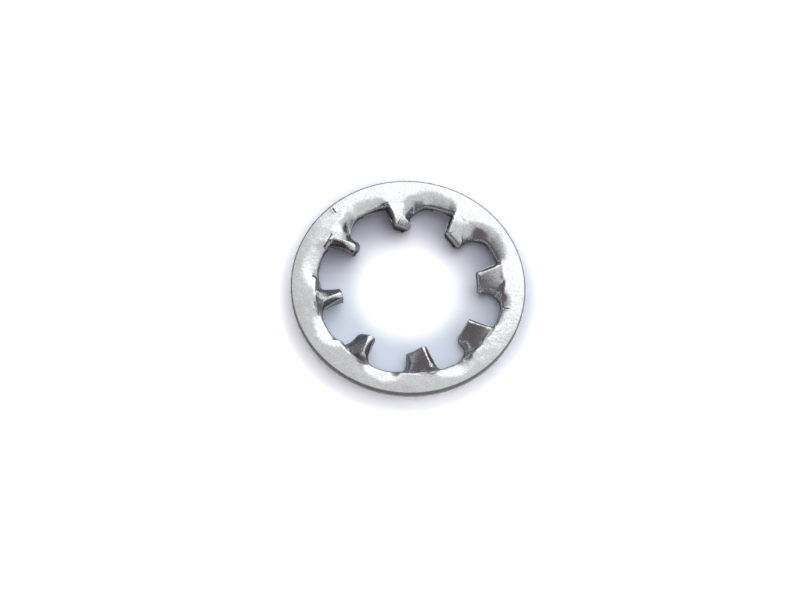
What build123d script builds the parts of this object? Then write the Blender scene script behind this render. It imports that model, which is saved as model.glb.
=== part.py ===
from build123d import *

import os
from math import atan2, cos, degrees, radians, sin

# Internal toothed lock washer for an M6 screw, one stamping of spring steel strip.
# The origin is on the axis of the screw hole, in the plane that the washer stands on.

# Blank, mm
outer_diameter = 11.0       # rim of the ring
bore_diameter = 6.4         # circle on which the tooth tips end
gullet_diameter = 8.7       # circle at the bottom of the gaps between the teeth
flat_width = 0.45           # flat band of the ring, in from the rim
thickness = 0.6             # strip

# Teeth
tooth_count = 8
first_tooth_angle = 12.2    # degrees from +X
tip_width = 1.14            # across a tooth at the bore circle
root_width = 1.54           # across a tooth at the gullet circle
tip_twist = 42.0            # degrees; the counter-clockwise side of a tooth stands up
root_twist = 13.0           # degrees, where the tooth breaks out of the ring
root_inset = 0.10           # how far a twisted root reaches into the ring
flare_width = 0.46          # extra width on the low side, where a tooth grows out of its gullet
flare_length = 0.75         # radial length over which that extra width dies away

# Edges drawn down by the punch, and the edge breaks
lip_drop = 0.20             # gullet edge of the ring, from the flat band inwards
shoulder_width = 0.28       # low side of a tooth
shoulder_drop = 0.12
crest_width = 0.12          # high side of a tooth
crest_drop = 0.10
heel_depth = 0.22           # bevel under the high side of a tooth, at its tip
heel_start = 0.03           # and at its root
rim_roll_radius = 0.12      # lower edge of the rim
rim_break_radius = 0.03     # upper edge of the rim

section_count = 6           # sections that each tooth is lofted through
trim_allowance = 0.35       # tooth length left for the bore to trim

outer_radius = outer_diameter / 2
bore_radius = bore_diameter / 2
gullet_radius = gullet_diameter / 2
flat_radius = outer_radius - flat_width
lip_width = flat_radius - gullet_radius
root_radius = gullet_radius + root_inset
tooth_length = root_radius - bore_radius
mid_height = thickness / 2


def drawn_radius(width, drop):
    """Radius of an arc that leaves a flat face and sinks by drop over width."""
    return (width**2 + drop**2) / (2 * drop)


def drawn_angle(width, drop):
    """Angle, in degrees, that the same arc turns through."""
    return degrees(2 * atan2(drop, width))


def from_root_to_tip(radius, at_root, at_tip):
    """A value that grows evenly along the tooth, and goes on growing past the bore."""
    return at_root + (at_tip - at_root) * (root_radius - radius) / tooth_length


def half_width_at(radius):
    """Half of the straight taper between the gullet circle and the bore circle."""
    taper = (root_width - tip_width) / (gullet_radius - bore_radius)
    return (tip_width + taper * (radius - bore_radius)) / 2


def flare_at(radius):
    """Extra width on the low side, which rounds the corner of the gullet."""
    left = max(1 - (root_radius - radius) / flare_length, 0)
    return flare_width * left**3


def tooth_section(radius):
    """Cross-section of a tooth lying along +X, at one radius and turned by its twist."""
    high_side = half_width_at(radius)
    low_foot = -half_width_at(radius)
    low_side = low_foot - flare_at(radius)
    top = thickness / 2
    heel = from_root_to_tip(radius, heel_start, heel_depth)
    turn = radians(from_root_to_tip(radius, root_twist, tip_twist))
    across = (0, cos(turn), sin(turn))
    with BuildSketch(Plane((radius, 0, mid_height), x_dir=across, z_dir=(1, 0, 0))) as section:
        with BuildLine():
            face = Line((high_side - crest_width, top), (low_side + shoulder_width, top))
            shoulder = JernArc(face @ 1, (-1, 0), drawn_radius(shoulder_width, shoulder_drop),
                               drawn_angle(shoulder_width, shoulder_drop))
            crest = JernArc(face @ 0, (1, 0), drawn_radius(crest_width, crest_drop),
                            -drawn_angle(crest_width, crest_drop))
            Polyline(shoulder @ 1, (low_foot, -top), (high_side - heel, -top),
                     (high_side, heel - top), crest @ 1)
        make_face()
    return section.sketch


def tooth():
    """One twisted tooth, from its root in the ring to a little past the bore circle."""
    reach = tooth_length + trim_allowance
    steps = [i / (section_count - 1) for i in range(section_count)]
    return loft([tooth_section(root_radius - reach * step) for step in steps])


def ring():
    """Flat ring whose gullet edge is drawn down, with a rolled lower rim."""
    with BuildPart() as turned:
        with BuildSketch(Plane.XZ):
            with BuildLine():
                lip = JernArc((flat_radius, thickness), (-1, 0), drawn_radius(lip_width, lip_drop),
                              drawn_angle(lip_width, lip_drop))
                foot = Line((gullet_radius, 0), (outer_radius - rim_roll_radius, 0))
                Line(lip @ 1, foot @ 0)
                roll = JernArc(foot @ 1, (1, 0), rim_roll_radius, 90)
                rim_break = JernArc((outer_radius, thickness - rim_break_radius), (0, 1),
                                    rim_break_radius, 90)
                Line(roll @ 1, rim_break @ 0)
                Line(rim_break @ 1, lip @ 0)
            make_face()
        revolve(axis=Axis.Z)
    return turned.part


def washer():
    """Ring and teeth in one piece, the bore trimmed, standing on its lowest tooth corners."""
    teeth = PolarLocations(0, tooth_count, start_angle=first_tooth_angle) * tooth()
    blank = ring() + teeth
    bore = Cylinder(bore_radius, 4 * thickness + root_width)
    trimmed = blank - Pos(0, 0, mid_height) * bore
    return Pos(0, 0, -trimmed.bounding_box().min.Z) * trimmed


os.makedirs("parts", exist_ok=True)
lock_washer = washer()
lock_washer.label = "lock_washer"
export_step(lock_washer, "parts/lock_washer.step")
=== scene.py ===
import math
from collections import namedtuple

import bpy
import numpy as np
from mathutils import Matrix, Vector
from mathutils.geometry import delaunay_2d_cdt


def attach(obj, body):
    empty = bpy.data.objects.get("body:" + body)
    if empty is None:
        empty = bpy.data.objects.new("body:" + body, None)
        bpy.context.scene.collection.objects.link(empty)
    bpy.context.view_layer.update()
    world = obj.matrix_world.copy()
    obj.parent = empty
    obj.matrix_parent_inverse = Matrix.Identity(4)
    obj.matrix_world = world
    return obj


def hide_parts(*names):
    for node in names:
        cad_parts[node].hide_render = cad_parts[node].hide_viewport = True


bl_info = {
    "name": "Toothed lock washer",
    "version": (1, 0, 0),
    "blender": (4, 5, 0),
    "location": "3D View > Sidebar > Lock washer",
    "description": "Stamps an internal toothed lock washer out of steel strip and sets it on a pale stage",
    "category": "Add Mesh",
}

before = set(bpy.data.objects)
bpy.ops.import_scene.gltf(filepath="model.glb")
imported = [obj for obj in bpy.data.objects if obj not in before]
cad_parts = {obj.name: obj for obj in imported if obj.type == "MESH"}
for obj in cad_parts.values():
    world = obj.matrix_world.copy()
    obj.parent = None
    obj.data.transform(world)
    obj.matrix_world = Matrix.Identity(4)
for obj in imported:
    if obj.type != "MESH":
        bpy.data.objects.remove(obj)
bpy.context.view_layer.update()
PIECE = "lock_washer_stamping"
NODE = "lock_washer"
BODY = "root"
MM = 0.001


# ---------------------------------------------------------------- sizes and colours

def length_property(name, description, millimetres):
    return bpy.props.FloatProperty(name=name, description=description, default=millimetres * MM,
                                   min=0.0, precision=5, subtype="DISTANCE", unit="LENGTH")


def angle_property(name, description, degrees):
    return bpy.props.FloatProperty(name=name, description=description,
                                   default=math.radians(degrees), subtype="ANGLE", unit="ROTATION")


def factor_property(name, description, value):
    return bpy.props.FloatProperty(name=name, description=description, default=value,
                                   min=0.0, max=1.0, subtype="FACTOR")


def colour_property(name, description, colour):
    return bpy.props.FloatVectorProperty(name=name, description=description, default=colour,
                                         size=3, min=0.0, max=4.0, subtype="COLOR")


class WasherSizes(bpy.types.PropertyGroup):
    """Sizes of the stamping"""
    outer_diameter: length_property("Outer diameter", "Rim of the ring", 11.0)
    bore_diameter: length_property("Bore", "Circle on which the tooth tips end", 6.4)
    gullet_diameter: length_property("Gullet circle", "Bottom of the gaps between the teeth", 8.7)
    thickness: length_property("Thickness", "Strip that the washer is stamped from", 0.6)
    first_tooth: angle_property("First tooth", "Where the first tooth stands, from +X", 12.2)
    tip_width: length_property("Tip width", "Across a tooth at the bore", 1.14)
    root_width: length_property("Root width", "Across a tooth at the gullet circle", 1.54)
    root_inset: length_property("Root inset", "How far the break at the root reaches into the ring", 0.10)
    tip_twist: angle_property("Twist at the tip", "Turn of a tooth about its own axis at the bore", 42.0)
    root_twist: angle_property("Twist at the root", "Turn gained in the break at the root", 13.0)
    lip_width: length_property("Lip width", "Drawn-down gullet edge, from the flat band inwards", 0.76)
    lip_drop: length_property("Lip drop", "How far the gullet edge is drawn down", 0.22)
    off_centre: length_property("Off centre", "How far the teeth lie off the middle of the rim", 0.07)


class SteelFinish(bpy.types.PropertyGroup):
    """Look of the steel"""
    bright: colour_property("Bright steel", "Rolled surface of the strip", (0.95, 0.955, 0.96))
    dull: colour_property("Dull steel", "Handled and stained patches", (0.70, 0.70, 0.695))
    # Painted shade: the smooth part of the punched walls is written darker than such steel is, so that the
    # walls come out dark as in shade.
    burnished_and_shade: colour_property("Burnished steel", "Smooth part of the punched walls", (0.42, 0.40, 0.415))
    # Partly painted shade: the rough part of the punched walls and the rough patches are written much
    # darker than such steel is.
    sheared_and_shade: colour_property("Sheared steel", "Torn part of the punched walls", (0.15, 0.14, 0.15))
    roughness: factor_property("Roughness", "Roughness of the rolled surface", 0.25)
    grain: factor_property("Grain", "Depth of the fine grain", 0.20)


class StageLook(bpy.types.PropertyGroup):
    """Floor, light and camera"""
    floor: colour_property("Floor", "Pale floor under the washer, as other light meets it",
                           (0.90, 0.90, 0.91))
    floor_inside: colour_property("Floor inside", "Middle of the washer's hole as the camera sees it",
                                  (2.45, 2.40, 2.40))
    floor_outside: colour_property("Floor outside", "Open floor as the camera sees it",
                                   (3.05, 3.05, 3.05))
    # Painted shade: these four tones darken the floor's colour as the camera sees it, close round the
    # washer, over its cast shadow.
    shade_near: colour_property("Shade near", "Inside the washer, on its near half", (1.22, 1.30, 1.46))
    shade_far: colour_property("Shade far", "Inside the washer, on its far half", (0.74, 0.74, 0.85))
    shade_dim: colour_property("Shade dim", "Round the washer, on its dim side", (2.38, 2.37, 2.42))
    shade_bright: colour_property("Shade bright", "Round the washer, on its bright side",
                                  (1.10, 1.15, 1.27))
    # Painted shade in reflections: metal mirrors the floor inside the washer at this share of its tone,
    # darker than that floor is.
    inside_mirrored: colour_property("Inside mirrored", "How much of the floor inside the metal mirrors",
                                     (0.28, 0.265, 0.28))
    outside_mirrored: colour_property("Outside mirrored", "The open floor as metal mirrors it",
                                      (2.60, 2.55, 2.50))
    bright_side: colour_property("Bright side", "Room behind and on the right", (0.62, 0.64, 0.655))
    dark_side: colour_property("Dark side", "Room in front and on the left", (0.120, 0.106, 0.118))
    light_azimuth: angle_property("Light azimuth", "Where the bright side lies, from +X", 28.0)
    light_elevation: angle_property("Light elevation", "Height of the bright side over the floor", 45.0)
    lamp_azimuth: angle_property("Lamp azimuth", "Where the soft lamp stands, from +X", 71.0)
    lamp_elevation: angle_property("Lamp elevation", "Height of the soft lamp over the floor", 33.0)
    lamp_distance: length_property("Lamp distance", "From the washer to the soft lamp", 17.0)
    lamp_radius: length_property("Lamp radius", "Of the round soft lamp", 12.5)
    lamp_level: bpy.props.FloatProperty(name="Lamp level", description="Brightness of the lamp's face, "
                                        "where 1 is white", default=0.62, min=0.0)
    lamp_colour: colour_property("Lamp colour", "Tint of the soft lamp", (0.96, 1.0, 1.04))
    elevation: angle_property("Camera elevation", "Angle of the camera above the floor", 65.0)
    roll: angle_property("Camera roll", "Lean of the camera about its own axis", 5.36)
    lens: bpy.props.FloatProperty(name="Lens", description="Focal length of the camera, in millimetres",
                                  default=300.0, min=1.0, unit="CAMERA")


# ---------------------------------------------------------------- outline of the blank

# All lengths below are in millimetres, and the mesh is brought to metres at the end.

# One tooth: the angle of its axis, and by how much it leaves the plain tooth. high and low widen its
# two flanks at the root, high_tip and low_tip at the tip; reach is the radius of its own tip circle.
# root_turn and tip_turn are degrees of twist. The low side bends down over the length soft, and at the
# low flank it starts bending by late further in. low_edge and tip_edge are the width and drop of the
# drawn-down edges, crest scales that of the high flank and lip that of the gullet after the tooth. nose
# is the radius of the low corner of the tip, and tear the length of the rough patch inside the
# break at the high side of the root, darkened there as painted shade.
Tooth = namedtuple("Tooth", "axis high low high_tip low_tip reach root_turn tip_turn soft late "
                            "low_edge tip_edge crest lip nose tear")
# A rounded corner between a flank and a circle about the origin, with its two ends.
Fillet = namedtuple("Fillet", "centre on_flank on_circle")
# A closed line of points, with the width and the drop of the edge that the punch drew down at each.
Outline = namedtuple("Outline", "points width drop")

OUTLINE_STEP = 0.030            # between the points of an outline
FEWEST_STEPS = 3                # along one stretch of it
EDGE_SMOOTHING = 0.12           # length over which one drawn-down edge passes into the next
CRISP_SHOULDER = (0.24, 0.12)   # width and drop of the drawn-down edges of a tooth
WIDE_SHOULDER = (0.46, 0.18)
CREST_ROOT = (0.03, 0.012)
CREST_MIDDLE = (0.055, 0.03)
CREST_TIP = (0.19, 0.15)
CRISP_TIP = (0.14, 0.08)
ROLLED_TIP = (0.30, 0.11)
LIP_GROWTH = 1.3                # of the lip along a gullet, from a high flank to the next low flank
LIP_CARRY = 0.65                # how far the lip of a gullet runs on into the foot of the low flank
LOW_GULLET_RADIUS = 0.65        # corners of the gullet, beside the low and the high flank
HIGH_GULLET_RADIUS = 0.20
HIGH_TIP_RADIUS = 0.06
ORIGIN = np.zeros(2)


def smooth_step(low, high, value):
    """Share that eases from 0 to 1 while the value passes from low to high."""
    share = np.clip((value - low) / (high - low), 0, 1)
    return share * share * (3 - 2 * share)


def blend(low, high, share):
    return low + (high - low) * share


def turned(points, angle):
    """Points turned counter-clockwise about the origin."""
    c, s = math.cos(angle), math.sin(angle)
    return points @ np.array([[c, s], [-s, c]])


CRISP = Tooth(axis=0.0, high=0.0, low=0.0, high_tip=0.0, low_tip=0.0, reach=3.20, root_turn=17, tip_turn=7,
              soft=0.16, late=0.30, low_edge=CRISP_SHOULDER, tip_edge=CRISP_TIP,
              crest=1.0, lip=0.85, nose=0.12, tear=0.04)
ROLLED = CRISP._replace(root_turn=3, tip_turn=0, soft=0.40, late=0.12, low_edge=WIDE_SHOULDER,
                        tip_edge=ROLLED_TIP, nose=0.16)


def stamped_teeth(first_axis):
    """The eight teeth as the press left them, counter-clockwise, each with its own quirks."""
    teeth = (CRISP._replace(tip_turn=10, soft=0.20, late=0.32, crest=0.8, lip=0.96),
             ROLLED._replace(root_turn=-3, crest=0.8, lip=1.00, tear=0.05),
             ROLLED._replace(high=-0.12, high_tip=-0.04, reach=3.18, tip_turn=2, late=0.15, lip=0.80,
                             tear=0.10),
             ROLLED._replace(high=0.05, high_tip=-0.18, low_tip=-0.05, reach=3.14, root_turn=16,
                             tip_turn=14, soft=0.36, crest=1.7, lip=0.90, nose=0.24, tear=0.14),
             CRISP._replace(high=0.14, low=0.16, high_tip=-0.06, low_tip=-0.22, reach=3.18, root_turn=18,
                            tip_turn=9, soft=0.12, late=0.26, lip=0.80, nose=0.18, tear=0.34),
             CRISP._replace(high=0.05, low=0.20, high_tip=0.05, low_tip=-0.12, reach=3.18, soft=0.14,
                            late=0.38, crest=1.1, lip=0.82, nose=0.34, tear=0.24),
             CRISP._replace(low=0.25, low_tip=0.12, root_turn=18, tip_turn=6, crest=0.6, tear=0.12),
             CRISP._replace(low=0.12, low_tip=0.20, reach=3.24, root_turn=10, tip_turn=5, soft=0.22,
                            crest=0.5, lip=0.60, nose=0.36))
    step = 2 * math.pi / len(teeth)
    return [tooth._replace(axis=first_axis + i * step) for i, tooth in enumerate(teeth)]


class Blank:
    """Sizes of the blank in millimetres, as plain numbers."""

    def __init__(self, sizes):
        self.rim = sizes.outer_diameter / MM / 2
        self.bore = sizes.bore_diameter / MM / 2
        self.gullet = sizes.gullet_diameter / MM / 2
        self.thickness = sizes.thickness / MM
        self.root = self.gullet + sizes.root_inset / MM
        self.root_width = sizes.root_width / MM
        self.tip_width = sizes.tip_width / MM
        self.lip = (sizes.lip_width / MM, sizes.lip_drop / MM)
        self.root_twist = sizes.root_twist
        self.tip_twist = sizes.tip_twist
        self.teeth = stamped_teeth(sizes.first_tooth)
        self.rim_centre = np.array([-sizes.off_centre / MM, 0.0])

    def from_rim(self, points):
        """Distance inwards from the rim. The origin is the middle of the teeth, and the rim lies a
        little aside from it."""
        return self.rim - np.linalg.norm(points - self.rim_centre, axis=1)

    def flank(self, tooth, side):
        """Root and tip of one flank of a tooth lying along +X; side is 1 for the high flank."""
        root_extra, tip_extra = (tooth.high, tooth.high_tip) if side > 0 else (tooth.low, tooth.low_tip)
        root = np.array([self.gullet, side * (self.root_width / 2 + root_extra)])
        tip = np.array([tooth.reach, side * (self.tip_width / 2 + tip_extra)])
        return root, tip


def fillet(root, tip, side, at_tip, circle, radius):
    """The corner between a flank and a circle. At the tip it lies within the tooth and outside the
    circle, at the root the other way round."""
    along = (tip - root) / np.linalg.norm(tip - root)
    inward = np.array([-along[1], along[0]]) * side
    across = inward if at_tip else -inward
    offset = root + radius * across
    reach = circle + radius if at_tip else circle - radius
    middle = offset @ along
    half_chord = math.sqrt(middle**2 - offset @ offset + reach**2)
    wanted = tip if at_tip else root
    centre = min((offset + (-middle + s * half_chord) * along for s in (1, -1)),
                 key=lambda c: np.linalg.norm(c - wanted))
    return Fillet(centre, centre - radius * across, centre * circle / np.linalg.norm(centre))


def arc(centre, start, end):
    """Points from start the short way round the centre to end, which is left out."""
    radius = np.linalg.norm(start - centre)
    first = math.atan2(start[1] - centre[1], start[0] - centre[0])
    last = math.atan2(end[1] - centre[1], end[0] - centre[0])
    sweep = (last - first + math.pi) % (2 * math.pi) - math.pi
    count = max(FEWEST_STEPS, math.ceil(abs(sweep) * radius / OUTLINE_STEP))
    angles = first + sweep * np.arange(count) / count
    return centre + radius * np.stack([np.cos(angles), np.sin(angles)], axis=1)


def straight(start, end):
    """Points from start straight to end, which is left out."""
    count = max(FEWEST_STEPS, math.ceil(np.linalg.norm(end - start) / OUTLINE_STEP))
    return start + (end - start) * (np.arange(count) / count)[:, None]


def low_foot(blank, tooth):
    """The corner where the gullet before a tooth runs into its low flank."""
    return fillet(*blank.flank(tooth, -1), -1, False, blank.gullet, LOW_GULLET_RADIUS)


def tooth_outline(blank, tooth, before, after):
    """Pieces of outline round one tooth, each with its edge at the start and at the end, and the
    point where they stop. before and after are the lips of the gullets on either side."""
    foot = low_foot(blank, tooth)
    nose = fillet(*blank.flank(tooth, -1), -1, True, tooth.reach, tooth.nose)
    root_edge = blend(np.array(tooth.low_edge), before, LIP_CARRY)
    pieces = [(arc(foot.centre, foot.on_circle, foot.on_flank), before, root_edge),
              (straight(foot.on_flank, nose.on_flank), root_edge, tooth.low_edge),
              (arc(nose.centre, nose.on_flank, nose.on_circle), tooth.low_edge, tooth.tip_edge)]
    tip_start = nose.on_circle
    nose = fillet(*blank.flank(tooth, 1), 1, True, tooth.reach, HIGH_TIP_RADIUS)
    foot = fillet(*blank.flank(tooth, 1), 1, False, blank.gullet, HIGH_GULLET_RADIUS)
    halfway = (nose.on_flank + foot.on_flank) / 2
    root_edge, middle_edge, tip_edge = (np.array(edge) * tooth.crest
                                        for edge in (CREST_ROOT, CREST_MIDDLE, CREST_TIP))
    pieces += [(arc(ORIGIN, tip_start, nose.on_circle), tooth.tip_edge, tooth.tip_edge),
               (arc(nose.centre, nose.on_circle, nose.on_flank), tooth.tip_edge, tip_edge),
               (straight(nose.on_flank, halfway), tip_edge, middle_edge),
               (straight(halfway, foot.on_flank), middle_edge, root_edge),
               (arc(foot.centre, foot.on_flank, foot.on_circle), root_edge, after)]
    return pieces, foot.on_circle


def smoothed_round(values, reach):
    """Running average round a closed row of values."""
    kernel = np.hanning(2 * reach + 3)[1:-1]
    wrapped = np.concatenate([values[-reach:], values, values[:reach]])
    return np.convolve(wrapped, kernel / kernel.sum(), mode="valid")


def inner_outline(blank):
    """The closed inner outline of the blank: gullets, flanks and tips, counter-clockwise."""
    points, width, drop = [], [], []

    def add(piece, first, last):
        share = np.arange(len(piece)) / len(piece)
        points.append(piece)
        width.append(blend(first[0], last[0], share))
        drop.append(blend(first[1], last[1], share))

    teeth = blank.teeth
    lips = [np.array(blank.lip) * tooth.lip for tooth in teeth]
    for index, (tooth, following) in enumerate(zip(teeth, teeth[1:] + teeth[:1])):
        pieces, end = tooth_outline(blank, tooth, lips[index - 1] * LIP_GROWTH, lips[index])
        for piece, first, last in pieces:
            add(turned(piece, tooth.axis), first, last)
        gullet = arc(ORIGIN, turned(end, tooth.axis),
                     turned(low_foot(blank, following).on_circle, following.axis))
        add(gullet, lips[index], lips[index] * LIP_GROWTH)
    reach = round(EDGE_SMOOTHING / OUTLINE_STEP)
    return Outline(np.concatenate(points), smoothed_round(np.concatenate(width), reach),
                   smoothed_round(np.concatenate(drop), reach))


def rim_outline(blank):
    """The closed rim of the blank, a little ragged, counter-clockwise."""
    count = math.ceil(2 * math.pi * blank.rim / OUTLINE_STEP)
    angles = 2 * math.pi * np.arange(count) / count
    ragged = ripple(angles * blank.rim, 2 * math.pi * blank.rim, RIM_RAGGEDNESS)
    radius = blank.rim - ragged
    return blank.rim_centre + np.stack([radius * np.cos(angles), radius * np.sin(angles)], axis=1)


# ---------------------------------------------------------------- irregular metal

Ripple = namedtuple("Ripple", "seed depth shortest longest count")
RIM_RAGGEDNESS = Ripple(11, 0.009, 0.08, 0.7, 50)
WALL_TEARING = Ripple(12, 0.005, 0.10, 0.6, 30)
SHEET_WAVES = Ripple(14, 0.0012, 0.35, 1.6, 36)
RIPPLE_BITE = 0.8               # how flat the deepest and the shallowest places of a ripple are


def ripple(along, length, kind):
    """Irregular depth between about 0 and twice kind.depth along a closed line."""
    rng = np.random.default_rng(kind.seed)
    total = np.zeros(len(along))
    for _ in range(kind.count):
        wave = math.exp(rng.uniform(math.log(kind.shortest), math.log(kind.longest)))
        turns = max(1, round(length / wave))
        total += np.cos(2 * math.pi * turns * along / length + rng.uniform(0, 2 * math.pi))
    total /= math.sqrt(kind.count / 2)
    return kind.depth * (1 + np.tanh(total * RIPPLE_BITE))


def waves(points, kind):
    """Irregular height over the plane, about plus and minus kind.depth."""
    rng = np.random.default_rng(kind.seed)
    total = np.zeros(len(points))
    for _ in range(kind.count):
        wave = math.exp(rng.uniform(math.log(kind.shortest), math.log(kind.longest)))
        heading = rng.uniform(0, 2 * math.pi)
        phase = points @ np.array([math.cos(heading), math.sin(heading)]) / wave
        total += np.cos(2 * math.pi * phase + rng.uniform(0, 2 * math.pi))
    return kind.depth * total / math.sqrt(kind.count / 2)


# ---------------------------------------------------------------- flat mesh of the blank

# Spacing of the points of one face, near its edges and elsewhere, and how far in from the circle of the
# roots its rows of points along the breaks lie.
Face = namedtuple("Face", "fine coarse break_rows")
UPPER_FACE = Face(0.034, 0.075, (-0.03, -0.005, 0.012, 0.028, 0.044, 0.06, 0.09, 0.12, 0.15, 0.18))
LOWER_FACE = Face(0.055, 0.120, (-0.03, 0.0, 0.03, 0.06, 0.09))
RIM_ROWS = (0.04, 0.08)         # how far in from the rim the rows of points beside it lie
BREAK_OVERRUN = 0.10            # of those along a break, past the middle of the tooth and its flank
NEAR_HOLE = 0.30                # how far from an edge the fine points reach
NEAR_RIM = 0.10
CLEARANCE = 0.6                 # between points, as a share of the fine spacing
EDGE_CLEARANCE = 0.4            # of the rows of points, from the hole
RIM_CLEARANCE = 0.02            # more, from the rim
GRID_MARGIN = 0.2               # of the grid of points, past the rim
TIP_MARGIN = 0.5                # and within the bore
BATCH = 4000                    # points measured at a time
WELD = 1e-7                     # points closer than this are one
TINY = 1e-12                    # in place of no rise at all


def inside(points, loop):
    """Which points lie within a closed loop, by counting crossings."""
    following = np.roll(loop, -1, axis=0)
    result = np.zeros(len(points), bool)
    for start in range(0, len(points), BATCH):
        part = points[start:start + BATCH]
        above = (loop[None, :, 1] > part[:, 1:2]) != (following[None, :, 1] > part[:, 1:2])
        rise = np.where(following[:, 1] == loop[:, 1], TINY, following[:, 1] - loop[:, 1])
        cross = loop[:, 0] + (part[:, 1:2] - loop[:, 1]) / rise * (following[:, 0] - loop[:, 0])
        result[start:start + BATCH] = (above & (part[:, 0:1] < cross)).sum(axis=1) % 2 == 1
    return result


def nearest(points, loop):
    """Distance to the loop and the index of its nearest point."""
    distance, index = np.zeros(len(points)), np.zeros(len(points), int)
    for start in range(0, len(points), BATCH):
        part = points[start:start + BATCH]
        squares = ((part[:, None, :] - loop[None, :, :])**2).sum(axis=2)
        index[start:start + BATCH] = squares.argmin(axis=1)
        distance[start:start + BATCH] = np.sqrt(squares.min(axis=1))
    return distance, index


def hexagonal_grid(spacing, reach):
    """Evenly spread points over a square about the origin."""
    rows = np.arange(-reach, reach, spacing * math.sqrt(3) / 2)
    columns = np.arange(-reach, reach, spacing)
    x, y = np.meshgrid(columns, rows)
    x = x + (np.arange(len(rows)) % 2)[:, None] * spacing / 2
    return np.stack([x.ravel(), y.ravel()], axis=1)


def root_breaks(blank, offsets, spacing):
    """Rows of points along the sharp break at the root of each tooth, on its high side."""
    rows = []
    for tooth in blank.teeth:
        high = blank.root_width / 2 + tooth.high
        across = np.arange(-BREAK_OVERRUN, high + BREAK_OVERRUN, spacing)
        for offset in offsets:
            row = np.stack([np.full(len(across), blank.root - offset), across], axis=1)
            rows.append(turned(row, tooth.axis))
    return np.concatenate(rows)


def rim_rows(blank, spacing):
    """Rows of points just inside the rim."""
    angles = np.arange(0, 2 * math.pi, spacing / blank.rim)
    circle = np.stack([np.cos(angles), np.sin(angles)], axis=1)
    return np.concatenate([blank.rim_centre + circle * (blank.rim - inset) for inset in RIM_ROWS])


def sheet_points(blank, hole, face):
    """Points that cover the blank, fine near its edges and breaks and coarse elsewhere."""
    rows = np.concatenate([root_breaks(blank, face.break_rows, face.fine), nick_points(),
                           rim_rows(blank, face.fine)])
    clear = face.fine * CLEARANCE
    kept = []
    for spacing in (face.fine, face.coarse):
        grid = hexagonal_grid(spacing, blank.rim + GRID_MARGIN)
        within = np.linalg.norm(grid, axis=1) > blank.bore - TIP_MARGIN
        grid = grid[(blank.from_rim(grid) > 0) & within]
        from_rim = blank.from_rim(grid)
        to_hole, _ = nearest(grid, hole)
        near_edge = (to_hole < NEAR_HOLE) | (from_rim < NEAR_RIM)
        wanted = near_edge == (spacing == face.fine)
        grid = grid[wanted & (to_hole > clear) & (from_rim > clear + RIM_CLEARANCE)]
        grid = grid[~inside(grid, hole)]
        to_rows, _ = nearest(grid, rows)
        kept.append(grid[to_rows > clear])
    rows = rows[~inside(rows, hole)]
    to_hole, _ = nearest(rows, hole)
    kept.append(rows[to_hole > face.fine * EDGE_CLEARANCE])
    return np.concatenate(kept)


def triangulated(hole, rim, points):
    """Vertices and triangles of the sheet between the hole and the rim. The hole's points come
    first, then the rim's, then the rest."""
    flat = np.concatenate([hole, rim, points])
    count_hole, count_rim = len(hole), len(rim)
    edges = [(i, (i + 1) % count_hole) for i in range(count_hole)]
    edges += [(count_hole + i, count_hole + (i + 1) % count_rim) for i in range(count_rim)]
    result = delaunay_2d_cdt([Vector(p) for p in flat], edges, [], 0, WELD)
    source = [origin[0] for origin in result[3]]
    triangles = np.array([[source[i] for i in face] for face in result[2]])
    centres = flat[triangles].mean(axis=1)
    border = (triangles < count_hole + count_rim).all(axis=1)
    wrong = np.zeros(len(triangles), bool)
    wrong[border] = inside(centres[border], hole) | ~inside(centres[border], rim)
    triangles = triangles[~wrong]
    a, b, c = (flat[triangles[:, i]] for i in range(3))
    area = (b[:, 0] - a[:, 0]) * (c[:, 1] - a[:, 1]) - (b[:, 1] - a[:, 1]) * (c[:, 0] - a[:, 0])
    triangles[area < 0] = triangles[area < 0][:, ::-1]
    return flat, triangles


# ---------------------------------------------------------------- shape of the pressed metal

BREAK_LENGTH = 0.055            # of the sharp break at the high side of a root
HIGH_SIDE = (-0.35, 0.25)       # across a tooth, where its soft bend passes into the sharp break
SOFT_BEND = (-1.1, 0.9)         # where a soft bend begins and ends, in lengths of the bend
GULLET_BEND = 0.45              # length of the bend in the gullet beyond the low flank
GULLET_SIDE = 0.25              # how far beyond the flank the bend takes that length
LATE_SIDE = 0.05                # where across a tooth the soft bend begins to come late
OVERRUN = 1.2                   # how far past the end of a flank its slope is followed, in lengths of it
TWIST_GROWTH = 0.7              # how fast the twist grows from the root; 1 is evenly
RIDGE = (0.030, 0.12)           # height and length of the ridge that the sharp break throws up
RIDGE_START = (0.02, 0.16)      # across a tooth, where the ridge begins and is whole
RIDGE_END = (-0.05, 0.03)       # past the high flank, where it begins to end and ends
LIP_DRAG = 0.75                 # how much of a drawn-down edge shows on the underside
LOW_DRAG = 0.60                 # how far beyond the low flank the gullet edge is dragged down
HIGH_DRAG = 0.08
HEEL = (0.03, 0.34)             # bevel under the high flank, at the root and at the tip
RIM_ROLL = 0.12                 # rolled lower edge of the rim
RIM_CROWN = (0.50, 0.025)       # width and drop of the crowned band inside the upper rim
EDGE_POWERS = ((0.3, 1.4), (0.6, 1.8))   # how a drawn-down edge steepens, by its width
EDGE_ROUNDING = 0.45            # radius of a drawn-down edge, as a share of its width
EDGE_RADII = (0.04, 0.15)       # smallest and largest radius of such an edge
HEEL_START = 0.1                # where the bevel is whole, as a share of a tooth's length
BULGE_END = 0.25                # how far inside the roots the drawn-down edge leaves the underside
SETTLING = 0.03                 # height under which the corners of the teeth are pressed flat

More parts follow.
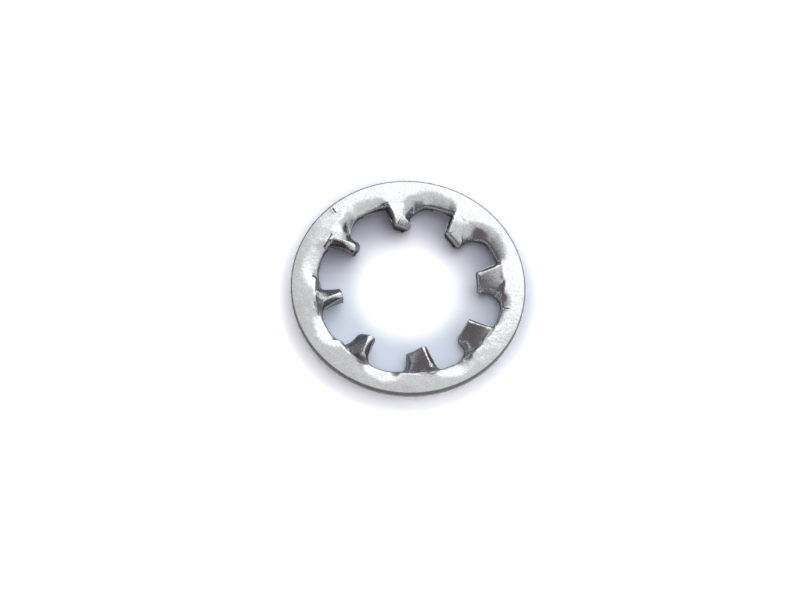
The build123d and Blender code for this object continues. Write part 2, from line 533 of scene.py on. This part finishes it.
# Nicks in the upper face: radius, angle and direction, half length, half width and depth. Those of
# negative depth are burrs thrown up beside the breaks.
Nick = namedtuple("Nick", "radius angle heading length width depth")
NICKS = (Nick(5.27, 137.6, 130.0, 0.13, 0.030, 0.035),
         Nick(4.63, -8.0, -5.0, 0.13, 0.025, 0.030),
         Nick(4.46, 151.5, 248.0, 0.24, 0.035, -0.035),
         Nick(4.52, 197.5, 290.0, 0.18, 0.030, -0.018),
         Nick(4.45, 244.0, 336.0, 0.18, 0.030, -0.028),
         Nick(4.48, 289.0, 20.0, 0.14, 0.035, -0.022))

NICK_REACH = 1.5                # of the points laid over a nick, in its half lengths
NICK_SPREAD = 2.4               # and in its half widths
NICK_GRID = (21, 9)             # how many points lie along it and across it
NICK_END = (0.7, 1.3)           # where the nick begins to run out and ends, in half lengths
BANK = (2.0, 0.4)               # place of its banks, in half widths, and their height to its depth


def nick_frame(nick):
    """Middle of a nick, and the direction along it."""
    angle, heading = math.radians(nick.angle), math.radians(nick.heading)
    middle = nick.radius * np.array([math.cos(angle), math.sin(angle)])
    return middle, np.array([math.cos(heading), math.sin(heading)])


def nick_points():
    """Rows of points laid over the nicks."""
    rows = []
    for nick in NICKS:
        middle, along = nick_frame(nick)
        across = np.array([-along[1], along[0]])
        u, v = np.meshgrid(np.linspace(-NICK_REACH, NICK_REACH, NICK_GRID[0]) * nick.length,
                           np.linspace(-NICK_SPREAD, NICK_SPREAD, NICK_GRID[1]) * nick.width)
        rows.append(middle + u.reshape(-1, 1) * along + v.reshape(-1, 1) * across)
    return np.concatenate(rows)


def nick_depth(points):
    """How deep the nicks cut, with the low banks thrown up beside them."""
    depth = np.zeros(len(points))
    for nick in NICKS:
        middle, along = nick_frame(nick)
        u = (points - middle) @ along
        v = (points - middle) @ np.array([-along[1], along[0]])
        fading = 1 - smooth_step(*NICK_END, np.abs(u) / nick.length)
        cut = np.exp(-(v / nick.width)**2)
        bank = BANK[1] * np.exp(-(np.abs(v) / nick.width - BANK[0])**2)
        depth += nick.depth * (cut - bank) * fading
    return depth


def local_frames(blank, points):
    """For each point the tooth whose sector holds it, and its place along and across that tooth."""
    angle = np.arctan2(points[:, 1], points[:, 0])
    step = 2 * math.pi / len(blank.teeth)
    owner = np.floor((angle - blank.teeth[0].axis) / step + 0.5).astype(int) % len(blank.teeth)
    axis = np.array([tooth.axis for tooth in blank.teeth])[owner]
    radius = np.linalg.norm(points, axis=1)
    return owner, axis, radius * np.cos(angle - axis), radius * np.sin(angle - axis)


def of_tooth(blank, owner, field):
    """One value of the tooth that each point belongs to."""
    return np.array([getattr(tooth, field) for tooth in blank.teeth])[owner]


def half_width(blank, owner, along, side):
    """Distance from the axis of a tooth to one of its flanks."""
    root = blank.root_width / 2 + of_tooth(blank, owner, "high" if side > 0 else "low")
    tip = blank.tip_width / 2 + of_tooth(blank, owner, "high_tip" if side > 0 else "low_tip")
    share = (blank.gullet - along) / (blank.gullet - blank.bore)
    return blend(root, tip, np.clip(share, 0, OVERRUN))


def pressed(blank, points, height):
    """Where the press carries points of the flat blank, as places in space. height is from the
    blank's underside, and comes out from the middle of the ring's thickness."""
    owner, axis, along, across = local_frames(blank, points)
    high = half_width(blank, owner, along, 1)
    low = half_width(blank, owner, along, -1)
    inward = blank.root - along
    highness = smooth_step(*HIGH_SIDE, across)
    sharp = smooth_step(0.0, BREAK_LENGTH, inward)
    beyond_flank = smooth_step(0.0, GULLET_SIDE, -low - across)
    bend = blend(of_tooth(blank, owner, "soft"), GULLET_BEND, beyond_flank)
    late = np.clip((LATE_SIDE - across) / (LATE_SIDE + low), 0, OVERRUN) * of_tooth(blank, owner, "late")
    soft = smooth_step(SOFT_BEND[0] * bend, SOFT_BEND[1] * bend, inward - late)
    grown = np.maximum(inward, 0) / (blank.root - blank.bore)
    at_root = blank.root_twist + np.radians(of_tooth(blank, owner, "root_turn"))
    at_tip = blank.tip_twist + np.radians(of_tooth(blank, owner, "tip_turn"))
    twist = blend(soft, sharp, highness) * blend(at_root, at_tip, grown**TWIST_GROWTH)
    held = np.clip(across, -low, high)
    carried = 1 - smooth_step(0, LOW_DRAG, -low - across)
    carried *= 1 - smooth_step(0, HIGH_DRAG, across - high)
    n = height - blank.thickness / 2
    across_new = across + carried * (held * (np.cos(twist) - 1) - n * np.sin(twist))
    z = n + carried * (held * np.sin(twist) + n * (np.cos(twist) - 1))
    beside = smooth_step(*RIDGE_START, across) * (1 - smooth_step(*RIDGE_END, across - high))
    ridge = np.clip(1 - (inward - BREAK_LENGTH) / RIDGE[1], 0, 1)
    z += RIDGE[0] * beside * ridge * sharp
    reach = of_tooth(blank, owner, "reach")
    flat_tip = np.sqrt(reach**2 - across**2)
    true_tip = np.sqrt(reach**2 - across_new**2)
    share = np.clip(inward / (blank.root - flat_tip), 0, None)
    along_new = np.where(inward > 0, blank.root - share * (blank.root - true_tip), along)
    c, s = np.cos(axis), np.sin(axis)
    return np.stack([c * along_new - s * across_new, s * along_new + c * across_new, z], axis=1)


def drawn_down(outline, to_hole, nearest_index):
    """How far the punch drew the metal down near the inner outline."""
    width, drop = outline.width[nearest_index], outline.drop[nearest_index]
    power = np.interp(width, *zip(*EDGE_POWERS))
    return width, drop * np.clip(1 - to_hole / width, 0, 1)**power


def upper_height(blank, outline, points, to_hole, nearest_index):
    """Height of the upper face over the blank's underside."""
    width, drawn = drawn_down(outline, to_hole, nearest_index)
    rounding = np.clip(EDGE_ROUNDING * width, *EDGE_RADII)
    inset = np.clip(rounding - to_hole, 0, None)
    drawn += rounding - np.sqrt(rounding**2 - inset**2)
    crown = RIM_CROWN[1] * np.clip(1 - blank.from_rim(points) / RIM_CROWN[0], 0, 1)**2
    return blank.thickness - drawn - crown - nick_depth(points) + waves(points, SHEET_WAVES)


def lower_height(blank, outline, points, to_hole, nearest_index):
    """Height of the underside, with the rolled rim and the bevel under each high flank."""
    bulge = LIP_DRAG * drawn_down(outline, to_hole, nearest_index)[1]
    from_rim = np.clip(blank.from_rim(points), 0, RIM_ROLL)
    roll = RIM_ROLL - np.sqrt(RIM_ROLL**2 - (RIM_ROLL - from_rim)**2)
    owner, _, along, across = local_frames(blank, points)
    grown = np.clip((blank.root - along) / (blank.root - blank.bore), 0, 1)
    heel = blend(*HEEL, grown) * smooth_step(0, HEEL_START, grown)
    bevel = np.clip(heel - (half_width(blank, owner, along, 1) - across), 0, heel)
    at_gullet = 1 - smooth_step(0.0, BULGE_END, blank.root - along)
    return np.where(along < blank.root, np.maximum(roll, bevel), roll) - bulge * at_gullet


def outward_normals(loop, sign):
    """Unit vectors across a closed loop, pointing away from the middle where sign is 1."""
    tangent = np.roll(loop, -1, axis=0) - np.roll(loop, 1, axis=0)
    tangent /= np.linalg.norm(tangent, axis=1)[:, None]
    return sign * np.stack([tangent[:, 1], -tangent[:, 0]], axis=1)


# ---------------------------------------------------------------- rough metal and painted shade

# Where each rough place begins and is whole, or begins to end and ends. These places are also darker,
# partly as painted shade.
RIM_TEAR = (0.03, 0.085)        # end, in from the rim
ROOT_TEAR = (0.0, 0.03)         # start, inside the roots
ROOT_TEAR_END = (0.6, 1.0)      # in lengths of the patch
ROOT_TEAR_SIDE = (0.2, 0.5)     # start, in high halves of the tooth
ROOT_TEAR_LIMIT = (0.02, 0.10)  # end, past the flank
FLANK_TEAR_SIDE = (-0.12, -0.02)    # start, past the flank
FLANK_TEAR = (-0.1, 0.0)        # start, in lengths of the tooth
FLANK_TEAR_END = (0.5, 1.0)
TEAR_LINE = (0.35, 0.55)        # start, down a wall from its top
RIM_TEAR_LINE = (0.35, 0.75)    # end, down the wall of the rim, whose upper part is the dark, rough one
RIM_DARKNESS = 0.95             # how dark and rough each place is where it is whole
# At the roots the darkening is painted shade in the breaks.
ROOT_DARKNESS = 0.85
# Beside the high flanks the darkening of the walls is painted shade.
FLANK_DARKNESS = 0.75
LEAST_TEAR = 0.01               # the shortest torn patch
WALL_ROWS = 7                   # of vertices down a punched wall
TEAR_INSET = 0.02               # how far the torn part of a wall lies back
TEAR_TURNS = 9                  # radians by which its depth comes and goes down the wall


def root_tear_and_shade(blank, points):
    """How dark and rough the upper face is just inside the breaks, in a wedge that is longest at the flank.
    Its darkness is painted shade in the break.
    """
    owner, _, along, across = local_frames(blank, points)
    high = half_width(blank, owner, along, 1)
    share = np.clip(across / high, 0, 1)
    length = np.maximum(of_tooth(blank, owner, "tear") * share, LEAST_TEAR)
    inward = blank.root - along
    wedge = smooth_step(*ROOT_TEAR, inward) * (1 - smooth_step(*ROOT_TEAR_END, inward / length))
    wedge *= smooth_step(*ROOT_TEAR_SIDE, share) * (1 - smooth_step(*ROOT_TEAR_LIMIT, across - high))
    return ROOT_DARKNESS * wedge


def flank_tear_and_shade(blank, points):
    """How dark and rough the upper part of the inner wall is: most beside the breaks of the high flanks,
    where the darkness is painted shade.
    """
    owner, _, along, across = local_frames(blank, points)
    beside = smooth_step(*FLANK_TEAR_SIDE, across - half_width(blank, owner, along, 1))
    grown = (blank.root - along) / (blank.root - blank.bore)
    beside *= smooth_step(*FLANK_TEAR, grown) * (1 - smooth_step(*FLANK_TEAR_END, grown))
    return FLANK_DARKNESS * beside


# ---------------------------------------------------------------- the stamping

class Shell:
    """Vertices, faces and vertex marks of the stamping, gathered piece by piece."""

    def __init__(self):
        self.vertices, self.faces = [], []
        self.marks = {"wall": [], "torn": []}
        self.count = 0

    def add(self, vertices, **marks):
        """Add vertices with their marks, and say where they start."""
        first = self.count
        self.vertices.append(vertices)
        for name, value in marks.items():
            self.marks[name].append(np.broadcast_to(value, len(vertices)).astype(float))
        self.count += len(vertices)
        return first

    def band(self, upper, lower, count, facing_out):
        """Quads between two closed counter-clockwise rows of vertices, given by their first indices.
        They face away from the middle or toward it."""
        here = np.arange(count)
        there = (here + 1) % count
        quads = np.stack([upper + here, upper + there, lower + there, lower + here], axis=1)
        self.faces += (quads[:, ::-1] if facing_out else quads).tolist()


def sheet_face(blank, outline, rim, face):
    """Flat mesh of one face of the blank, with the distance to the hole and its nearest point."""
    flat, triangles = triangulated(outline.points, rim, sheet_points(blank, outline.points, face))
    return flat, triangles, *nearest(flat, outline.points)


def add_wall(shell, blank, loop, upper, lower, facing_out):
    """Close one outline with a punched wall. upper and lower give the first vertex on the loop and
    the heights along it, at the top and at the bottom of the wall."""
    (above, top), (below, bottom) = upper, lower
    count = len(loop)
    outward = outward_normals(loop, 1 if facing_out else -1)
    length = np.cumsum(np.linalg.norm(np.roll(loop, -1, axis=0) - loop, axis=1))
    tearing = ripple(length, length[-1], WALL_TEARING)
    for share in (np.arange(WALL_ROWS) + 1) / (WALL_ROWS + 1):
        low_down = smooth_step(*TEAR_LINE, share)
        inset = low_down * (TEAR_INSET + tearing * (0.5 + 0.5 * math.sin(TEAR_TURNS * share)))
        # The lower part of the inner walls and the upper part of the rim wall take the dark sheared tone,
        # partly painted shade.
        if facing_out:
            torn = 1 - smooth_step(*RIM_TEAR_LINE, share)
        else:
            torn = np.maximum(low_down, flank_tear_and_shade(blank, loop))
        flat = loop - outward * inset[:, None]
        row = shell.add(pressed(blank, flat, blend(top, bottom, share)), wall=1.0, torn=torn)
        shell.band(above, row, count, facing_out)
        above = row
    shell.band(above, below, count, facing_out)


def stamping_shell(blank):
    """The whole washer as a closed shell, in millimetres, about the middle of the ring."""
    outline = inner_outline(blank)
    hole, rim = outline.points, rim_outline(blank)
    shell = Shell()

    flat, triangles, to_hole, index = sheet_face(blank, outline, rim, UPPER_FACE)
    top = upper_height(blank, outline, flat, to_hole, index)
    # A darker, rougher band runs along the upper edge of the rim.
    beside_rim = RIM_DARKNESS * (1 - smooth_step(*RIM_TEAR, blank.from_rim(flat)))
    # The patches just inside the breaks at the roots are painted shade.
    torn = np.maximum(beside_rim, root_tear_and_shade(blank, flat))
    upper = shell.add(pressed(blank, flat, top), wall=0.0, torn=torn)
    shell.faces += (triangles + upper).tolist()

    flat, triangles, to_hole, index = sheet_face(blank, outline, rim, LOWER_FACE)
    bottom = lower_height(blank, outline, flat, to_hole, index)
    lower = shell.add(pressed(blank, flat, bottom), wall=0.0, torn=0.0)
    shell.faces += (triangles + lower)[:, ::-1].tolist()

    for loop, start, facing_out in ((hole, 0, False), (rim, len(hole), True)):
        on_loop = slice(start, start + len(loop))
        add_wall(shell, blank, loop, (upper + start, top[on_loop]), (lower + start, bottom[on_loop]),
                 facing_out)
    return shell


SHARP_ANGLE = 42                # degrees between two faces, past which the edge between them is crisp
RIM_BAND = 0.2                  # of the part in the frame, where the height of its ring is read


def settled(height):
    """Heights with the lowest corners of the teeth pressed flat instead of through the floor."""
    return np.where(height < SETTLING, SETTLING * np.exp(height / SETTLING - 1), height)


def steel_mesh(name, shell, shift, middle_height):
    """Mesh of the stamping in metres, smooth but for its sharp edges."""
    vertices = np.concatenate(shell.vertices) + [shift, 0, middle_height]
    vertices[:, 2] = settled(vertices[:, 2])
    mesh = bpy.data.meshes.new(name)
    mesh.from_pydata((vertices * MM).tolist(), [], shell.faces)
    for mark, values in shell.marks.items():
        attribute = mesh.attributes.new(mark, "FLOAT", "POINT")
        attribute.data.foreach_set("value", np.concatenate(values).astype(np.float32))
    mesh.polygons.foreach_set("use_smooth", [True] * len(mesh.polygons))
    mesh.set_sharp_from_angle(angle=math.radians(SHARP_ANGLE))
    mesh.update()
    return mesh


def ring_middle(blank):
    """Height of the middle of the ring's thickness in the frame, in millimetres."""
    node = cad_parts[NODE]
    places = np.array([node.matrix_world @ v.co for v in node.data.vertices]) / MM
    on_rim = np.linalg.norm(places[:, :2], axis=1) > blank.rim - RIM_BAND
    return places[on_rim, 2].max() - blank.thickness / 2


# ---------------------------------------------------------------- materials

class Nodes:
    """Shorthand for building a node tree."""

    def __init__(self, tree):
        self.tree = tree
        tree.nodes.clear()

    def add(self, kind, inputs=None, **settings):
        """One node with its settings, and its inputs set or linked."""
        node = self.tree.nodes.new(kind)
        for key, value in settings.items():
            setattr(node, key, value)
        for key, value in (inputs or {}).items():
            if isinstance(value, bpy.types.NodeSocket):
                self.tree.links.new(value, node.inputs[key])
            else:
                node.inputs[key].default_value = value
        return node

    def ramp(self, value, low, high, way="SMOOTHSTEP"):
        """A share that grows from 0 to 1 while the value passes from low to high."""
        return self.add("ShaderNodeMapRange", {"Value": value, "From Min": low, "From Max": high},
                        interpolation_type=way).outputs[0]

    def mix(self, share, first, second, way="MIX"):
        """A colour that passes from the first to the second as the share grows."""
        return self.add("ShaderNodeMix", {"Factor": share, "A": first, "B": second}, data_type="RGBA",
                        blend_type=way).outputs["Result"]


def opaque(colour):
    return (*colour, 1.0)


PATCH_SCALE = 900.0             # patches about a millimetre across
GRAIN_SCALE = 9000.0            # grains about a tenth of that
STAINED = (0.40, 0.70)          # noise at which patches, grain and roughness begin and are whole
SPECKLED = (0.38, 0.60)
ROUGHENED = (0.3, 0.7)
GRAIN_SHARE = 0.55              # of the grain in the mottling, the patches having the rest
ROUGHNESS_SPREAD = 0.06         # to each side of the roughness
TORN_ROUGHNESS = 0.22           # more, where the metal is torn
GRAIN_HEIGHT = 0.03             # mm


def steel_material(finish):
    """Bright rolled steel with dull patches and fine grain. It is darker on the punched walls and on the
    rough patches, and that darkness is partly painted shade.
    """
    material = bpy.data.materials.new("satin_spring_steel")
    material.use_nodes = True
    n = Nodes(material.node_tree)
    place = n.add("ShaderNodeTexCoord").outputs["Object"]
    patches = n.add("ShaderNodeTexNoise", {"Vector": place, "Scale": PATCH_SCALE, "Detail": 6.0,
                                           "Roughness": 0.7}).outputs["Fac"]
    grain = n.add("ShaderNodeTexNoise", {"Vector": place, "Scale": GRAIN_SCALE, "Detail": 3.0,
                                         "Roughness": 0.6}).outputs["Fac"]
    mottled = n.add("ShaderNodeMix", {"Factor": GRAIN_SHARE, "A": n.ramp(patches, *STAINED, "LINEAR"),
                                      "B": n.ramp(grain, *SPECKLED, "LINEAR")}).outputs[0]
    # Where this mark is whole the steel is rougher and takes the dark sheared tone; that darkness is partly
    # painted shade.
    torn = n.add("ShaderNodeAttribute", attribute_name="torn").outputs["Fac"]
    on_wall = n.add("ShaderNodeAttribute", attribute_name="wall").outputs["Fac"]
    colour = n.mix(mottled, opaque(finish.bright), opaque(finish.dull))
    # Every wall takes the burnished tone: smooth steel, made darker as painted shade.
    colour = n.mix(on_wall, colour, opaque(finish.burnished_and_shade))
    colour = n.mix(torn, colour, opaque(finish.sheared_and_shade))
    rough = n.add("ShaderNodeMapRange", {"Value": grain, "From Min": ROUGHENED[0], "From Max": ROUGHENED[1],
                                         "To Min": finish.roughness - ROUGHNESS_SPREAD,
                                         "To Max": finish.roughness + ROUGHNESS_SPREAD})
    rough = n.add("ShaderNodeMath", {0: torn, 1: TORN_ROUGHNESS, 2: rough.outputs[0]},
                  operation="MULTIPLY_ADD")
    bump = n.add("ShaderNodeBump", {"Height": grain, "Strength": finish.grain,
                                    "Distance": GRAIN_HEIGHT * MM})
    steel = n.add("ShaderNodeBsdfPrincipled", {"Base Color": colour, "Metallic": 1.0,
                                               "Roughness": rough.outputs[0], "Normal": bump.outputs[0]})
    n.add("ShaderNodeOutputMaterial", {"Surface": steel.outputs[0]})
    return material


# Where the painted shade on the floor begins and where it ends, in millimetres from the washer's axis.
NEAR_SHADE = (1.2, 3.0)         # inside the washer, on its near and its far half
FAR_SHADE = (1.3, 4.0)
DIM_SHADE = (6.8, 5.6)          # outside it, on its dim and its bright side
BRIGHT_SHADE = (7.6, 5.3)
IN_OR_OUT = 5.05                # under the ring, where neither can be seen
MIRROR_EDGE = (5.0, 6.2)        # where metal passes from mirroring the inside to the open floor
# Direction, in degrees from +X, toward which one half passes into the other, and how far to each side of
# the axis that takes.
NEAR_TO_FAR = (85, 3.0)
DIM_TO_BRIGHT = (60, 4.5)


def shade(n, distance, reach, open_tone, shaded_tone):
    """One tone of the floor passing softly into another over a stretch of distance: the painted shade close
    round the washer.
    """
    start, end = reach
    return n.mix(n.ramp(distance, start * MM, end * MM), opaque(open_tone), opaque(shaded_tone))


def from_side_to_side(n, place, passage, first, second):
    """One colour on the side away from a heading, passing to another on the side toward it."""
    heading, reach = passage
    toward = compass(math.radians(heading), 0.0)
    along = n.add("ShaderNodeVectorMath", {0: place, 1: toward}, operation="DOT_PRODUCT").outputs["Value"]
    return n.mix(n.ramp(along, -reach * MM, reach * MM), first, second)


def floor_material(look):
    """Pale floor, white to the camera but for a soft shade close round the washer, painted into its colour
    over the shadow that the washer casts. The walls and the teeth mirror the floor inside the washer dimmed
    as painted shade, and the rim mirrors the open floor."""
    material = bpy.data.materials.new("pale_floor")
    material.use_nodes = True
    n = Nodes(material.node_tree)
    place = n.add("ShaderNodeTexCoord").outputs["Object"]
    distance = n.add("ShaderNodeVectorMath", {0: place}, operation="LENGTH").outputs["Value"]
    is_outside = n.add("ShaderNodeMath", {0: distance, 1: IN_OR_OUT * MM}, operation="GREATER_THAN")
    inner = from_side_to_side(n, place, NEAR_TO_FAR,
                              shade(n, distance, NEAR_SHADE, look.floor_inside, look.shade_near),
                              shade(n, distance, FAR_SHADE, look.floor_inside, look.shade_far))
    outer = from_side_to_side(n, place, DIM_TO_BRIGHT,
                              shade(n, distance, DIM_SHADE, look.floor_outside, look.shade_dim),
                              shade(n, distance, BRIGHT_SHADE, look.floor_outside, look.shade_bright))
    seen = n.mix(is_outside.outputs[0], inner, outer)
    # Painted shade: the walls and the teeth mirror the floor inside the washer dimmed by the
    # inside_mirrored share.
    dimmed = n.mix(1.0, inner, opaque(look.inside_mirrored), "MULTIPLY")
    beyond = n.ramp(distance, MIRROR_EDGE[0] * MM, MIRROR_EDGE[1] * MM)
    mirrored = n.mix(beyond, dimmed, opaque(look.outside_mirrored))
    path = n.add("ShaderNodeLightPath").outputs
    shiny = n.add("ShaderNodeMath", {0: path["Is Glossy Ray"], 1: path["Is Transmission Ray"]},
                  operation="MAXIMUM")
    colour = n.mix(shiny.outputs[0], opaque(look.floor), mirrored)
    colour = n.mix(path["Is Camera Ray"], colour, seen)
    paper = n.add("ShaderNodeBsdfDiffuse", {"Color": colour})
    n.add("ShaderNodeOutputMaterial", {"Surface": paper.outputs[0]})
    return material


def compass(azimuth, elevation):
    """Unit vector toward a place in the sky, the azimuth counted from +X toward +Y."""
    level = math.cos(elevation)
    return Vector((level * math.cos(azimuth), level * math.sin(azimuth), math.sin(elevation)))


def soft_lamp(look, target):
    """Round soft lamp behind the washer, close enough that its edge shades across the ring."""
    data = bpy.data.lights.new("soft_lamp", "AREA")
    data.shape, data.size = "DISK", 2 * look.lamp_radius
    data.energy = look.lamp_level * math.pi**2 * look.lamp_radius**2
    data.color = look.lamp_colour
    lamp = bpy.data.objects.new("soft_lamp", data)
    lamp.visible_camera = False
    toward = compass(look.lamp_azimuth, look.lamp_elevation)
    lamp.matrix_world = Matrix.Translation(target + toward * look.lamp_distance) \
        @ toward.to_track_quat("Z", "Y").to_matrix().to_4x4()
    return lamp


BRIGHT_EDGE = (0.09, 0.58)      # cosine to the bright side where its light begins and is whole
HORIZON = (-0.02, 0.22)         # sine of the height where the sky's light begins and is whole
WHITE = (1.0, 1.0, 1.0)


def studio_world(look):
    """Soft light from behind and from the right, falling off to a dim room in front."""
    world = bpy.data.worlds.new("studio")
    world.use_nodes = True
    n = Nodes(world.node_tree)
    direction = n.add("ShaderNodeTexCoord").outputs["Generated"]
    toward = compass(look.light_azimuth, look.light_elevation)
    facing = n.add("ShaderNodeVectorMath", {0: direction, 1: toward}, operation="DOT_PRODUCT")
    height = n.add("ShaderNodeSeparateXYZ", {"Vector": direction}).outputs["Z"]
    share = n.add("ShaderNodeMath", {0: n.ramp(facing.outputs["Value"], *BRIGHT_EDGE),
                                     1: n.ramp(height, *HORIZON)}, operation="MULTIPLY")
    light = n.mix(share.outputs[0], opaque(look.dark_side), opaque(look.bright_side))
    seen_straight = n.add("ShaderNodeLightPath").outputs["Is Camera Ray"]
    sky = n.add("ShaderNodeBackground", {"Color": n.mix(seen_straight, light, opaque(WHITE)),
                                         "Strength": 1.0})
    n.add("ShaderNodeOutputWorld", {"Surface": sky.outputs[0]})
    return world


# ---------------------------------------------------------------- camera

IMAGE_WIDTH = 800               # pixels
IMAGE_CENTRE = (400.0, 300.0)
RING_CENTRE = (408.28, 286.25)  # where the middle of the ring's upper face falls, in pixels
SCALE = 21.37                   # pixels to the millimetre there
SENSOR = 36.0                   # mm
CLIP = (0.1, 20)                # nearest and farthest thing shown, in camera distances


def studio_camera(look, target):
    """Long lens from above the front, set aside so that the washer falls where it should."""
    data = bpy.data.cameras.new("camera")
    data.lens, data.sensor_width = look.lens, SENSOR
    distance = IMAGE_WIDTH * look.lens / (SENSOR * SCALE) * MM
    data.clip_start, data.clip_end = distance * CLIP[0], distance * CLIP[1]
    back = Vector((0, -math.cos(look.elevation), math.sin(look.elevation)))
    upright = back.to_track_quat("Z", "Y").to_matrix()
    turned_camera = upright @ Matrix.Rotation(look.roll, 3, "Z")
    right, up = turned_camera.col[0], turned_camera.col[1]
    aside = (IMAGE_CENTRE[0] - RING_CENTRE[0]) / SCALE * MM
    above = (RING_CENTRE[1] - IMAGE_CENTRE[1]) / SCALE * MM
    camera = bpy.data.objects.new("camera", data)
    camera.matrix_world = Matrix.Translation(target + back * distance + right * aside + up * above) \
        @ turned_camera.to_4x4()
    return camera


# ---------------------------------------------------------------- operators

FLOOR_HALF = 0.5                # half the side of the square floor, in metres


class WASHER_OT_stamp(bpy.types.Operator):
    """Stamp the lock washer: flat ring, drawn-down gullets and eight twisted teeth"""
    bl_idname = "washer.stamp"
    bl_label = "Stamp the lock washer"
    bl_options = {"REGISTER", "UNDO"}

    def execute(self, context):
        blank = Blank(context.scene.washer_sizes)
        mesh = steel_mesh(PIECE, stamping_shell(blank), -blank.rim_centre[0], ring_middle(blank))
        mesh.materials.append(steel_material(context.scene.steel_finish))
        washer = bpy.data.objects.new(PIECE, mesh)
        context.scene.collection.objects.link(washer)
        context.view_layer.update()
        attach(washer, BODY)
        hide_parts(NODE)
        return {"FINISHED"}


class WASHER_OT_stage(bpy.types.Operator):
    """Lay the pale floor and set up the light and the camera"""
    bl_idname = "washer.stage"
    bl_label = "Set up the stage"
    bl_options = {"REGISTER", "UNDO"}

    def execute(self, context):
        look = context.scene.stage_look
        scene = context.scene
        mesh = bpy.data.meshes.new("floor")
        corners = [(x * FLOOR_HALF, y * FLOOR_HALF, 0) for x, y in ((-1, -1), (1, -1), (1, 1), (-1, 1))]
        mesh.from_pydata(corners, [], [(0, 1, 2, 3)])
        mesh.materials.append(floor_material(look))
        floor = bpy.data.objects.new("floor", mesh)
        scene.collection.objects.link(floor)
        scene.world = studio_world(look)
        blank = Blank(scene.washer_sizes)
        top = (ring_middle(blank) + blank.thickness / 2) * MM
        camera = studio_camera(look, Vector((0, 0, top)))
        scene.collection.objects.link(camera)
        scene.collection.objects.link(soft_lamp(look, Vector((0, 0, top))))
        scene.camera = camera
        scene.view_settings.view_transform = "Standard"
        return {"FINISHED"}


class WASHER_PT_panel(bpy.types.Panel):
    """Sizes, finish and stage of the lock washer"""
    bl_idname = "WASHER_PT_panel"
    bl_label = "Lock washer"
    bl_space_type = "VIEW_3D"
    bl_region_type = "UI"
    bl_category = "Lock washer"

    def draw(self, context):
        for title, group in (("Sizes", context.scene.washer_sizes), ("Steel", context.scene.steel_finish),
                             ("Stage", context.scene.stage_look)):
            box = self.layout.box()
            box.label(text=title)
            for name in group.__annotations__:
                box.prop(group, name)
        for operator in (WASHER_OT_stamp, WASHER_OT_stage):
            self.layout.operator(operator.bl_idname)


CLASSES = (WasherSizes, SteelFinish, StageLook, WASHER_OT_stamp, WASHER_OT_stage, WASHER_PT_panel)


def register():
    for cls in CLASSES:
        bpy.utils.register_class(cls)
    bpy.types.Scene.washer_sizes = bpy.props.PointerProperty(type=WasherSizes)
    bpy.types.Scene.steel_finish = bpy.props.PointerProperty(type=SteelFinish)
    bpy.types.Scene.stage_look = bpy.props.PointerProperty(type=StageLook)


def unregister():
    for name in ("stage_look", "steel_finish", "washer_sizes"):
        delattr(bpy.types.Scene, name)
    for cls in reversed(CLASSES):
        bpy.utils.unregister_class(cls)


def main():
    register()
    bpy.ops.washer.stamp()
    bpy.ops.washer.stage()


if __name__ == "__main__":
    main()
